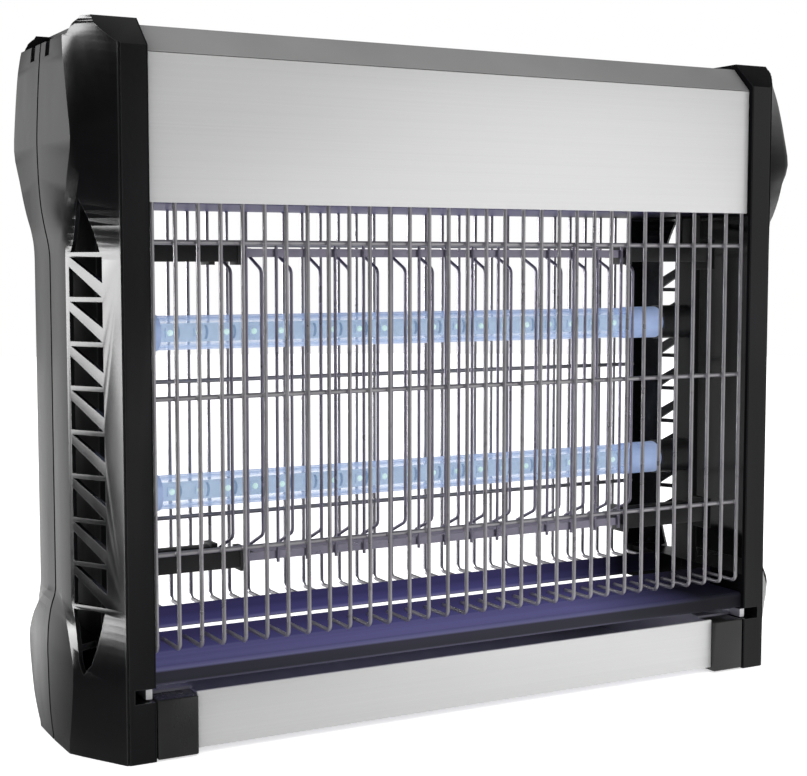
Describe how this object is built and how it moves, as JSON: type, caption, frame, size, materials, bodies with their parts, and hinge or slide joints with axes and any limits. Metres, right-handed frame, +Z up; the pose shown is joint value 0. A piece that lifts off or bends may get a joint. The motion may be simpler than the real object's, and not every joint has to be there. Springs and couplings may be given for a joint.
{
  "type": "electric bug zapper",
  "caption": "Upright indoor insect killer: black moulded end caps with triangular vents, brushed metal fascias, wire guards, a high-voltage grid before tube lamps and a drawer tray.",
  "frame": {"origin": "middle of the bounding box at the base, on the plane the end caps stand on", "axes": "+X along the length towards the right end cap, +Y from the front face to the rear, +Z up"},
  "size_m": [0.3266, 0.088, 0.2652],
  "materials": {
    "cap_plastic": "glossy black moulding",
    "inner_plastic": "satin black",
    "cover_paint": "satin grey paint",
    "fascia_metal": "fine brushed, satin",
    "black_sheet": "glossy black paint",
    "guard_wire": "bright plated wire",
    "insulator": "satin black",
    "grid_metal": "plated steel",
    "lead_sleeve": "matt black sleeve",
    "board": "solder-resist green",
    "ferrite": "dark sintered ferrite",
    "capacitor_sleeve": "printed film sleeve",
    "terminal_plastic": "satin green",
    "fuse_metal": "plated clips",
    "screw_steel": "zinc plated",
    "rocker_plastic": "glossy red",
    "gland_rubber": "satin black",
    "tray_sheet": "satin sheet",
    "tray_plastic": "glossy black moulding",
    "lamp_glass": "clear, glowing pale blue",
    "led_board": "white with light-emitting chips",
    "lamp_cap": "translucent blue",
    "pin_brass": "bright"
  },
  "bodies": {
    "cabinet": {"end_cap_left_front": "cap_plastic", "end_cap_left_rear": "cap_plastic", "end_cap_right_front": "cap_plastic", "end_cap_right_rear": "cap_plastic", "lamp_plate_left": "inner_plastic", "lamp_plate_right": "inner_plastic", "top_cover": "cover_paint", "front_fascia": "fascia_metal", "rear_fascia": "fascia_metal", "housing_floor": "black_sheet", "front_beam": "black_sheet", "rear_beam": "black_sheet", "front_guard": "guard_wire", "rear_guard": "guard_wire", "front_guard_feet": "guard_wire", "rear_guard_feet": "guard_wire", "insulator_arms_left": "insulator", "insulator_arms_right": "insulator", "ground_rails": "grid_metal", "live_rails": "grid_metal", "ground_wires": "grid_metal", "live_wires": "grid_metal", "live_wire_tops": "grid_metal", "live_wire_bottoms": "grid_metal", "hv_leads": "lead_sleeve", "socket_upper_left": "insulator", "socket_upper_right": "insulator", "socket_lower_left": "insulator", "socket_lower_right": "insulator", "driver_board": "board", "transformer": "ferrite", "capacitors": "capacitor_sleeve", "terminal_block": "terminal_plastic", "fuse": "fuse_metal", "board_standoffs": "inner_plastic", "board_screws": "screw_steel", "end_cap_screws": "screw_steel", "switch_housing": "inner_plastic", "cord_gland": "gland_rubber"},
    "tray": {"tray_pan": "tray_sheet", "tray_front_panel": "fascia_metal", "tray_rear_panel": "fascia_metal", "tray_side_left": "tray_plastic", "tray_side_right": "tray_plastic"},
    "upper_lamp": {"upper_tube": "lamp_glass", "upper_led_strip": "led_board", "upper_caps": "lamp_cap", "upper_pins": "pin_brass"},
    "lower_lamp": {"lower_tube": "lamp_glass", "lower_led_strip": "led_board", "lower_caps": "lamp_cap", "lower_pins": "pin_brass"},
    "rocker": {"switch_rocker": "rocker_plastic"}
  },
  "joints": [
    {"name": "tray_slide", "type": "slide", "parent": "cabinet", "child": "tray", "axis": [0, -1, 0], "range_m": [0, 0.07]},
    {"name": "upper_lamp_twist", "type": "hinge", "parent": "cabinet", "child": "upper_lamp", "pos_m": [0, 0, 0.1523], "axis": [1, 0, 0], "range_deg": [0, 90]},
    {"name": "lower_lamp_twist", "type": "hinge", "parent": "cabinet", "child": "lower_lamp", "pos_m": [0, 0, 0.0908], "axis": [1, 0, 0], "range_deg": [0, 90]},
    {"name": "switch_rock", "type": "hinge", "parent": "cabinet", "child": "rocker", "pos_m": [-0.07, 0.0345, 0.228], "axis": [1, 0, 0], "range_deg": [0, 16]}
  ]
}
